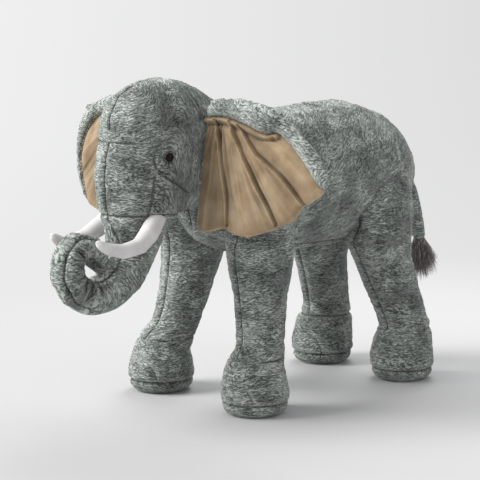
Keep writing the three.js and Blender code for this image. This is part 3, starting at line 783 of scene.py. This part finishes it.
# %% A small padded form
def padded_form(name, names, square, smoothing, inflate, wrinkle, seed):
    """A felted copy of a few nodes, blown up a little and wrinkled across its height."""
    thing = joined_copy(names, f"{name}_form")
    felt(thing, square, smoothing, 1)
    points = to_pattern(read_points(thing.data))
    normals = read_normals(thing.data)
    along = points[:, 2] + 4 * drift(points / 28, seed)
    ridge_place = np.column_stack((points[:, 0] / 16, points[:, 1] / 16, along / 7))
    ridges = ridged(ridge_place, seed + 1)
    points = points + normals * (inflate + wrinkle * ridges)[:, None]
    values = {"rest_place": points, "across": along, "seam": np.full(len(points), NO_SEAM),
              "painted_light_tone": np.zeros(len(points))}
    piece = cut_piece(name, read_quads(thing.data), points, values)
    bpy.data.objects.remove(thing)
    return piece


tusks = {
    side_name: padded_form(f"tusk_{side_name}_velour",
                           (f"tusk_cover_{side_name}", f"tusk_stuffing_{side_name}"),
                           0.003, 12, 0.6, 0.12, 30)
    for side_name in ("left", "right")
}
tail = padded_form("tail_plush", ("tail_cover", "tail_stuffing"), 0.003, 10, 0.8, 0.7, 33)
print("tusks and tail made")

# %% Stuffing
def make_stuffing(node, square, inset, seed):
    return padded_form(f"{node}_fibre", (node,), square, 14, -inset, 0.8, seed)


STUFFING = {
    "torso_stuffing": (0.012, 5), "head_stuffing": (0.009, 5), "trunk_stuffing": (0.008, 4),
    **{f"{leg}_leg_stuffing": (0.009, 5) for leg in LEGS},
    "tusk_stuffing_left": (0.004, 1), "tusk_stuffing_right": (0.004, 1), "tail_stuffing": (0.004, 1.5),
}
fibre = {node: make_stuffing(node, square, inset, 40 + row)
         for row, (node, (square, inset)) in enumerate(STUFFING.items())}
print("masses of stuffing:", len(fibre))

# %% [markdown]
# ## The tuft
# The tail ends in a long spray of grey-brown hair. A few hundred thin tapered locks, each a
# three-sided strand that bends under its own weight, read as hair from every side and export as a
# plain mesh, which a particle system would not.

# %% Grow the locks
def make_tuft(count, seed):
    chance = np.random.default_rng(seed)
    low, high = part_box("tail_tuft")
    top = to_pattern(((low.x + high.x) / 2, 0, high.z))
    top[1] = to_pattern(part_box("tail_cover")[1])[1] - 14
    length_full = (high.z - low.z) * 1000
    mesh_points = []
    mesh_faces = []
    for _ in range(count):
        turn = chance.uniform(0, 2 * np.pi)
        spread = chance.uniform(0, 1) ** 0.6
        start = top + np.array((math.cos(turn) * 10 * spread, math.sin(turn) * 10 * spread, 8))
        lean = np.array((math.cos(turn) * 38 * spread, math.sin(turn) * 34 * spread + 16, 0))
        length = length_full * chance.uniform(0.66, 1.12) * (1.08 - 0.25 * spread)
        curl = chance.normal(0, 3.2, (2, 3))
        width = chance.uniform(0.7, 1.3)
        base = len(mesh_points)
        steps = 8
        for ring in range(steps + 1):
            part = ring / steps
            middle = start + lean * (part ** 1.25) * (1 - 0.25 * part)
            middle = middle + curl[0] * math.sin(3.1 * part) * part + curl[1] * part**2
            middle[2] = start[2] - length * part
            radius = width * (1 - part) ** 0.7 + 0.06
            for corner in range(3):
                angle = turn + corner * 2.094
                mesh_points.append(middle + np.array((math.cos(angle), math.sin(angle), 0)) * radius)
        for ring in range(steps):
            for corner in range(3):
                a = base + ring * 3 + corner
                b = base + ring * 3 + (corner + 1) % 3
                mesh_faces.append((a, b, b + 3, a + 3))
        mesh_faces.append((base + 2, base + 1, base))
        end = base + steps * 3
        mesh_faces.append((end, end + 1, end + 2))
    mesh = bpy.data.meshes.new("tail_tuft_hair")
    mesh.from_pydata(to_frame(np.array(mesh_points)).tolist(), [], mesh_faces)
    mesh.shade_smooth()
    tuft = bpy.data.objects.new("tail_tuft_hair", mesh)
    bpy.context.scene.collection.objects.link(tuft)
    print("tuft:", count, "locks,", len(mesh_faces), "faces")
    return tuft


tuft = make_tuft(900, 7)

# %% [markdown]
# ## Eyes
# Large plush has glossy domed safety eyes. The CAD eye has the right place and size but few sides,
# so its profile is turned again with many, on the axis that the eye faces along, and a thin rim of
# plush is already raised round it in the skin.

# %% Turn the eyes
EYE_RADIUS = 9.0
EYE_FACING = np.array((300.0, -150.0, 16.0)) / np.linalg.norm((300.0, -150.0, 16.0))


def make_eye(name, sign):
    facing = EYE_FACING * (sign, 1, 1)
    cad = to_pattern(read_points(nodes[f"eye_{name}"].data))
    top = (cad @ facing).max()
    middle = cad.mean(axis=0)
    dome_top = middle + facing * (top - middle @ facing)
    profile = [(EYE_RADIUS * math.cos(t), 5.6 * math.sin(t) - 5.6) for t in np.linspace(0, math.pi / 2, 12)]
    profile = [(0.001, -9), (EYE_RADIUS, -9)] + profile
    turned = bmesh.new()
    sides = 40
    rings = []
    aside = np.cross(facing, (0, 0, 1))
    aside /= np.linalg.norm(aside)
    above = np.cross(facing, aside)
    for radius, rise in profile:
        ring = []
        for k in range(sides):
            angle = 2 * math.pi * k / sides
            outwards = aside * math.cos(angle) + above * math.sin(angle)
            point = dome_top + facing * rise + outwards * max(radius, 0.02)
            ring.append(turned.verts.new(to_frame(point)))
        rings.append(ring)
    for lower, upper in zip(rings[:-1], rings[1:]):
        for k in range(sides):
            turned.faces.new((lower[k], lower[(k + 1) % sides], upper[(k + 1) % sides], upper[k]))
    turned.faces.new(rings[0][::-1])
    turned.faces.new(rings[-1])
    bmesh.ops.recalc_face_normals(turned, faces=turned.faces)
    mesh = bpy.data.meshes.new(f"eye_{name}_dome")
    turned.to_mesh(mesh)
    turned.free()
    mesh.shade_smooth()
    eye = bpy.data.objects.new(f"eye_{name}_dome", mesh)
    bpy.context.scene.collection.objects.link(eye)
    return eye


eyes = {name: make_eye(name, sign) for name, sign in (("left", 1), ("right", -1))}
print("eyes turned:", list(eyes))

# %% [markdown]
# ## Finishes
# The plush is dyed in cloudy patches, and its fine wrinkles are thin dark lines between pale
# ridges. One builder makes it from the values that each panel carries. A noise that is long along
# a ridge and short across it draws the lines, dark wherever it crosses its middle value. Large
# soft noise gives the clouds and very fine noise the pile. Painted shade darkens the cloth into
# seams, joins, creases, pleats and the eye sockets, and painted light makes the pile paler on top
# and in front. Velour uses the same fine pile with no ridges and a silky sheen, and the ears'
# lining takes painted highlights and painted shade from its own shade value.

# %% Node helpers
def new_material(name):
    material = bpy.data.materials.new(name)
    material.use_nodes = True
    tree = material.node_tree
    tree.nodes.clear()
    shader = tree.nodes.new("ShaderNodeBsdfPrincipled")
    output = tree.nodes.new("ShaderNodeOutputMaterial")
    tree.links.new(shader.outputs[0], output.inputs[0])
    return material, tree, shader


def value_at(tree, name):
    node = tree.nodes.new("ShaderNodeAttribute")
    node.attribute_name = name
    return node


def maths(tree, operation, first, second=None, third=None):
    node = tree.nodes.new("ShaderNodeMath")
    node.operation = operation
    for slot, source in enumerate((first, second, third)):
        if source is None:
            continue
        if isinstance(source, (int, float)):
            node.inputs[slot].default_value = source
        else:
            tree.links.new(source, node.inputs[slot])
    return node.outputs[0]


def scaled(tree, vector, factors):
    node = tree.nodes.new("ShaderNodeVectorMath")
    node.operation = "MULTIPLY"
    tree.links.new(vector, node.inputs[0])
    node.inputs[1].default_value = factors
    return node.outputs[0]


def noise_of(tree, vector, size, detail, roughness=0.5, across=None, across_size=1.0):
    """Noise with features of about this size in mm, and finer across the ridges if asked."""
    node = tree.nodes.new("ShaderNodeTexNoise")
    node.noise_dimensions = "3D" if across is None else "4D"
    node.inputs["Scale"].default_value = 1.0
    node.inputs["Detail"].default_value = detail
    node.inputs["Roughness"].default_value = roughness
    tree.links.new(scaled(tree, vector, (1 / size,) * 3), node.inputs["Vector"])
    if across is not None:
        tree.links.new(maths(tree, "DIVIDE", across, across_size), node.inputs["W"])
    return node.outputs["Fac"]


def ramp(tree, value, stops):
    node = tree.nodes.new("ShaderNodeValToRGB")
    tree.links.new(value, node.inputs[0])
    band = node.color_ramp
    while len(band.elements) < len(stops):
        band.elements.new(0.5)
    for element, (position, colour) in zip(band.elements, stops):
        element.position = position
        element.color = (*colour, 1)
    return node.outputs[0]


def soft_range(tree, value, low, high, out_low=0.0, out_high=1.0):
    node = tree.nodes.new("ShaderNodeMapRange")
    node.interpolation_type = "SMOOTHSTEP"
    tree.links.new(value, node.inputs["Value"])
    node.inputs["From Min"].default_value = low
    node.inputs["From Max"].default_value = high
    node.inputs["To Min"].default_value = out_low
    node.inputs["To Max"].default_value = out_high
    return node.outputs["Result"]


def bumped(tree, shader, height, strength, distance):
    node = tree.nodes.new("ShaderNodeBump")
    node.inputs["Strength"].default_value = strength
    node.inputs["Distance"].default_value = distance
    tree.links.new(height, node.inputs["Height"])
    tree.links.new(node.outputs[0], shader.inputs["Normal"])


def darkened(tree, colour, factor):
    node = tree.nodes.new("ShaderNodeVectorMath")
    node.operation = "SCALE"
    tree.links.new(colour, node.inputs[0])
    tree.links.new(factor, node.inputs["Scale"])
    return node.outputs[0]


# %% Wrinkled plush
def wrinkled_plush(name, shift=0.0):
    material, tree, shader = new_material(name)
    spot = value_at(tree, "rest_place").outputs["Vector"]
    across_ridges = value_at(tree, "across").outputs["Fac"]
    painted_shade_distance = value_at(tree, "seam").outputs["Fac"]
    waves = noise_of(tree, spot, 12, 1, 0.5, across_ridges, 2.3)
    broad = noise_of(tree, spot, 30, 2, 0.5, across_ridges, 10.0)
    clouds = noise_of(tree, spot, 62, 2, 0.55)
    pile = noise_of(tree, spot, 2.2, 2, 0.6)
    off_line = maths(tree, "ABSOLUTE", maths(tree, "SUBTRACT", waves, 0.5))
    ridges = soft_range(tree, off_line, 0.0, 0.11)
    # Painted light lifts the plush's tone by the panel's own value.
    painted_light_tone = maths(tree, "ADD", value_at(tree, "painted_light_tone").outputs["Fac"], 0.51 + shift)
    tone = maths(tree, "MULTIPLY_ADD", maths(tree, "SUBTRACT", ridges, 0.55), 0.52, painted_light_tone)
    tone = maths(tree, "MULTIPLY_ADD", maths(tree, "SUBTRACT", clouds, 0.5), 1.1, tone)
    tone = maths(tree, "MULTIPLY_ADD", maths(tree, "SUBTRACT", broad, 0.5), 0.7, tone)
    tone = maths(tree, "MULTIPLY_ADD", maths(tree, "SUBTRACT", pile, 0.5), 0.55, tone)
    colour = ramp(tree, tone, (
        (0.05, (0.030, 0.037, 0.034)), (0.36, (0.112, 0.130, 0.119)),
        (0.60, (0.215, 0.240, 0.222)), (0.95, (0.52, 0.56, 0.52)),
    ))
    # Painted shade: the colour darkens towards seams, joins, creases, pleats and eye sockets.
    colour = darkened(tree, colour, soft_range(tree, painted_shade_distance, 0.2, 3.8, 0.24, 1.0))
    tree.links.new(colour, shader.inputs["Base Color"])
    shader.inputs["Roughness"].default_value = 0.92
    shader.inputs["Specular IOR Level"].default_value = 0.1
    shader.inputs["Sheen Weight"].default_value = 0.6
    shader.inputs["Sheen Roughness"].default_value = 0.4
    shader.inputs["Sheen Tint"].default_value = (0.86, 0.90, 0.87, 1)
    swells = maths(tree, "MULTIPLY", broad, 1.6)
    relief = maths(tree, "MULTIPLY_ADD", pile, 0.5, maths(tree, "ADD", ridges, swells))
    bumped(tree, shader, relief, 1.0, 0.0016)
    return material


plush = wrinkled_plush("wrinkled_grey_plush")
# A darker copy of the same plush, as painted shade for the undersides.
underside_shade_plush = wrinkled_plush("shaded_grey_plush", -0.05)
print("plush made")

# %% Velour, hair, fibre and the small parts
def velour(name, dark, middle, light, cloud_size, sheen, shaded):
    material, tree, shader = new_material(name)
    spot = value_at(tree, "rest_place").outputs["Vector"]
    clouds = noise_of(tree, spot, cloud_size, 3, 0.5)
    nap = noise_of(tree, spot, 0.9, 2, 0.6)
    tone = maths(tree, "MULTIPLY_ADD", maths(tree, "SUBTRACT", nap, 0.5), 0.25, clouds)
    colour = ramp(tree, tone, ((0.25, dark), (0.5, middle), (0.75, light)))
    # Painted light and shade on the ears' lining, from its shade value.
    if shaded:
        colour = darkened(tree, colour, value_at(tree, "shade").outputs["Fac"])
    tree.links.new(colour, shader.inputs["Base Color"])
    shader.inputs["Roughness"].default_value = 0.78
    shader.inputs["Specular IOR Level"].default_value = 0.2
    shader.inputs["Sheen Weight"].default_value = sheen
    shader.inputs["Sheen Roughness"].default_value = 0.35
    shader.inputs["Sheen Tint"].default_value = (1.0, 0.93, 0.82, 1)
    bumped(tree, shader, maths(tree, "ADD", nap, clouds), 0.35, 0.0006)
    return material


tan_velour = velour(
    "tan_velour", (0.185, 0.128, 0.073), (0.275, 0.200, 0.122), (0.38, 0.295, 0.195), 50, 0.4, True)
ivory_velour = velour(
    "ivory_velour", (0.60, 0.585, 0.58), (0.68, 0.665, 0.665), (0.75, 0.74, 0.74), 30, 0.25, False)


def streaked_hair(name):
    material, tree, shader = new_material(name)
    spot = tree.nodes.new("ShaderNodeTexCoord").outputs["Object"]
    streaks = tree.nodes.new("ShaderNodeTexNoise")
    streaks.inputs["Scale"].default_value = 1.0
    streaks.inputs["Detail"].default_value = 3.0
    tree.links.new(scaled(tree, spot, (420.0, 420.0, 22.0)), streaks.inputs["Vector"])
    colour = ramp(tree, streaks.outputs["Fac"], (
        (0.3, (0.055, 0.050, 0.052)), (0.5, (0.23, 0.205, 0.20)), (0.72, (0.56, 0.52, 0.50)),
    ))
    tree.links.new(colour, shader.inputs["Base Color"])
    shader.inputs["Roughness"].default_value = 0.6
    shader.inputs["Specular IOR Level"].default_value = 0.3
    return material


def plain_finish(name, dark, light, size, roughness, metallic=0.0, bump=0.2, stretch=(1, 1, 1), specular=0.5):
    material, tree, shader = new_material(name)
    spot = tree.nodes.new("ShaderNodeTexCoord").outputs["Object"]
    grain = tree.nodes.new("ShaderNodeTexNoise")
    grain.inputs["Scale"].default_value = 1.0
    grain.inputs["Detail"].default_value = 4.0
    tree.links.new(scaled(tree, spot, tuple(1000 / size * s for s in stretch)), grain.inputs["Vector"])
    tree.links.new(ramp(tree, grain.outputs["Fac"], ((0.3, dark), (0.7, light))), shader.inputs["Base Color"])
    shader.inputs["Roughness"].default_value = roughness
    shader.inputs["Metallic"].default_value = metallic
    shader.inputs["Specular IOR Level"].default_value = specular
    bumped(tree, shader, grain.outputs["Fac"], bump, 0.0004)
    return material


hair = streaked_hair("tuft_hair")
fluff = plain_finish("fibre_fill", (0.70, 0.69, 0.66), (0.88, 0.87, 0.84), 6, 0.95, bump=0.8)
glossy_eye = plain_finish(
    "eye_plastic", (0.004, 0.003, 0.003), (0.014, 0.009, 0.006), 3, 0.12, bump=0.0, specular=0.16)
clear_washer = plain_finish("washer_plastic", (0.62, 0.62, 0.60), (0.74, 0.74, 0.72), 4, 0.4)
steel = plain_finish(
    "frame_steel", (0.42, 0.42, 0.43), (0.60, 0.60, 0.61), 1.5, 0.34, metallic=1.0, stretch=(1, 1, 0.1))
tape = plain_finish("woven_tape", (0.12, 0.135, 0.125), (0.22, 0.24, 0.225), 1.2, 0.9, bump=0.5)
board = plain_finish("sole_board", (0.36, 0.26, 0.15), (0.52, 0.40, 0.26), 5, 0.85, bump=0.4)
print("materials:", len(bpy.data.materials))

# %% [markdown]
# ## Put the pieces on their bodies
# A sewn panel moves with whatever it is sewn to. Most pieces ride on the standing body, the ears
# and the tail ride on their own, and the trunk's panels and stuffing stay fixed where they are,
# on no body.


def finish_piece(piece, body, material, slot, *replaced):
    piece.data.materials.clear()
    piece.data.materials.append(material)
    if body == "trunk":
        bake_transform(piece)
    else:
        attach(piece, body)
    if replaced:
        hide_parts(*replaced)


for name, piece in plush_pieces.items():
    body = "trunk" if name.startswith("trunk") else "root"
    # The belly, the jaw and the soles take the darker copy as painted shade.
    darker = name in ("belly", "jaw") or name.endswith("sole")
    finish_piece(piece, body, underside_shade_plush if darker else plush, "grey_plush", REPLACED[name])
for name, (lining_piece, back_piece) in ear_pieces.items():
    finish_piece(lining_piece, f"ear_{name}", tan_velour, "tan_velour", f"ear_lining_{name}")
    finish_piece(back_piece, f"ear_{name}", plush, "grey_plush", f"ear_back_{name}")
for name, piece in tusks.items():
    finish_piece(piece, "root", ivory_velour, "ivory_velour", f"tusk_cover_{name}")
finish_piece(tail, "tail", plush, "grey_plush", "tail_cover")
finish_piece(tuft, "tail", hair, "tuft_hair", "tail_tuft")
for node, piece in fibre.items():
    body = "trunk" if node.startswith("trunk") else "tail" if node.startswith("tail") else "root"
    finish_piece(piece, body, fluff, "polyester_stuffing", node)
for name, eye in eyes.items():
    finish_piece(eye, "root", glossy_eye, "eye_plastic", f"eye_{name}")

# %% Finishes of the CAD nodes that stay
KEPT = {
    "front_leg_frame": steel, "hind_leg_frame": steel, "spine_rod": steel, "tail_tab": tape,
    "eye_washer_left": clear_washer, "eye_washer_right": clear_washer,
    **{f"{leg}_sole_board": board for leg in LEGS},
}
for node, material in KEPT.items():
    nodes[node].data.materials.clear()
    nodes[node].data.materials.append(material)
print("kept CAD nodes:", len(KEPT))

# %% [markdown]
# ## Floor, light and camera
# The toy stands on a sheet of pale paper that curves up into a backdrop, so there is no horizon.
# The paper takes the toy's shadow near by and glows far off, with painted light that fades away
# from the key's side, and near by its colour is painted darker under the key and paler away from
# it. A large soft light stands high on the left, a weaker one on the right and one behind. The
# camera is level with the toy's shoulder, a little in front of its left side and far away, so the
# perspective is gentle.

# %% Floor and backdrop
SWEEP_HALF_WIDTH = 24.0
SWEEP_TURN = math.radians(47.7)
sweep_ahead = np.array((-math.sin(SWEEP_TURN), math.cos(SWEEP_TURN), 0))
sweep_aside = np.array((math.cos(SWEEP_TURN), math.sin(SWEEP_TURN), 0))
bend = [(6.0 + 2.5 * math.sin(t), 2.5 - 2.5 * math.cos(t)) for t in np.linspace(0, math.pi / 2, 13)]
profile = [(-14.0, 0.0)] + bend + [(8.5, 9.0)]
sweep_points = [
    tuple(sweep_ahead * ahead + sweep_aside * aside * SWEEP_HALF_WIDTH + np.array((0, 0, rise)))
    for ahead, rise in profile for aside in (-1, 1)
]
sweep_faces = [(k, k + 1, k + 3, k + 2) for k in range(0, len(sweep_points) - 2, 2)]
sweep_mesh = bpy.data.meshes.new("backdrop")
sweep_mesh.from_pydata(sweep_points, [], sweep_faces)
sweep_mesh.shade_smooth()
sweep = bpy.data.objects.new("backdrop", sweep_mesh)
bpy.context.scene.collection.objects.link(sweep)

paper, paper_tree, paper_shader = new_material("pale_paper")
paper_spot = paper_tree.nodes.new("ShaderNodeTexCoord").outputs["Object"]
reach = paper_tree.nodes.new("ShaderNodeVectorMath")
reach.operation = "LENGTH"
paper_tree.links.new(paper_spot, reach.inputs[0])
sideways = paper_tree.nodes.new("ShaderNodeVectorMath")
sideways.operation = "DOT_PRODUCT"
paper_tree.links.new(paper_spot, sideways.inputs[0])
sideways.inputs[1].default_value = tuple(sweep_aside)
# Painted light on the paper: the far glow fades away from the key's side, and the near colour is painted
# darker under the key and paler on the shadow side.
painted_falloff = maths(paper_tree, "MULTIPLY_ADD", sideways.outputs["Value"], -0.05, 1.0)
painted_light_away_from_key = maths(paper_tree, "MULTIPLY_ADD", sideways.outputs["Value"], 0.16, 1.0)
lit = ramp(paper_tree, soft_range(paper_tree, reach.outputs["Value"], 0.8, 2.3), (
    (0.0, (0.575, 0.575, 0.58)), (1.0, (0.0, 0.0, 0.0)),
))
glow = ramp(paper_tree, soft_range(paper_tree, reach.outputs["Value"], 0.8, 2.3), (
    (0.0, (0.0, 0.0, 0.0)), (1.0, (0.80, 0.80, 0.805)),
))
paper_tree.links.new(darkened(paper_tree, lit, painted_light_away_from_key), paper_shader.inputs["Base Color"])
paper_tree.links.new(darkened(paper_tree, glow, painted_falloff), paper_shader.inputs["Emission Color"])
paper_shader.inputs["Emission Strength"].default_value = 1.0
paper_shader.inputs["Roughness"].default_value = 0.9
paper_shader.inputs["Specular IOR Level"].default_value = 0.0
sweep_mesh.materials.append(paper)
print("backdrop:", len(sweep_faces), "faces")

# %% Lights
def soft_light(name, place, target, size, power, colour=(1, 1, 1)):
    lamp = bpy.data.lights.new(name, "AREA")
    lamp.shape = "DISK"
    lamp.size = size
    lamp.energy = power
    lamp.color = colour
    thing = bpy.data.objects.new(name, lamp)
    thing.location = place
    thing.rotation_euler = (Vector(target) - Vector(place)).to_track_quat("-Z", "Y").to_euler()
    bpy.context.scene.collection.objects.link(thing)


soft_light("key", (-2.2, -3.2, 2.7), (0, -0.1, 0.3), 2.8, 255, (1.0, 0.99, 0.98))
soft_light("fill", (3.6, 0.8, 2.0), (0, 0, 0.3), 2.5, 14, (0.97, 0.99, 1.0))
soft_light("rim", (-1.5, 2.2, 3.2), (0, 0, 0.4), 2.2, 70, (1.0, 1.0, 1.0))
surround = bpy.data.worlds.new("surround")
surround.use_nodes = True
surround.node_tree.nodes["Background"].inputs["Color"].default_value = (0.93, 0.93, 0.94, 1)
surround.node_tree.nodes["Background"].inputs["Strength"].default_value = 0.57
bpy.context.scene.world = surround
bpy.context.scene.view_settings.view_transform = "Standard"

# %% Camera
CAMERA_TURN = SWEEP_TURN
CAMERA_RISE = math.radians(7.9)
CAMERA_DISTANCE = 3.655
CAMERA_LENS = 127.5
looking_at = Vector(to_frame((0, 101, 337)))
camera_data = bpy.data.cameras.new("camera")
camera_data.lens = CAMERA_LENS
camera_data.sensor_width = 36
camera_data.clip_end = 100
camera = bpy.data.objects.new("camera", camera_data)
camera.location = looking_at + CAMERA_DISTANCE * Vector((
    math.sin(CAMERA_TURN) * math.cos(CAMERA_RISE),
    -math.cos(CAMERA_TURN) * math.cos(CAMERA_RISE),
    math.sin(CAMERA_RISE),
))
camera.rotation_euler = (looking_at - camera.location).to_track_quat("-Z", "Y").to_euler()
bpy.context.scene.collection.objects.link(camera)
bpy.context.scene.camera = camera
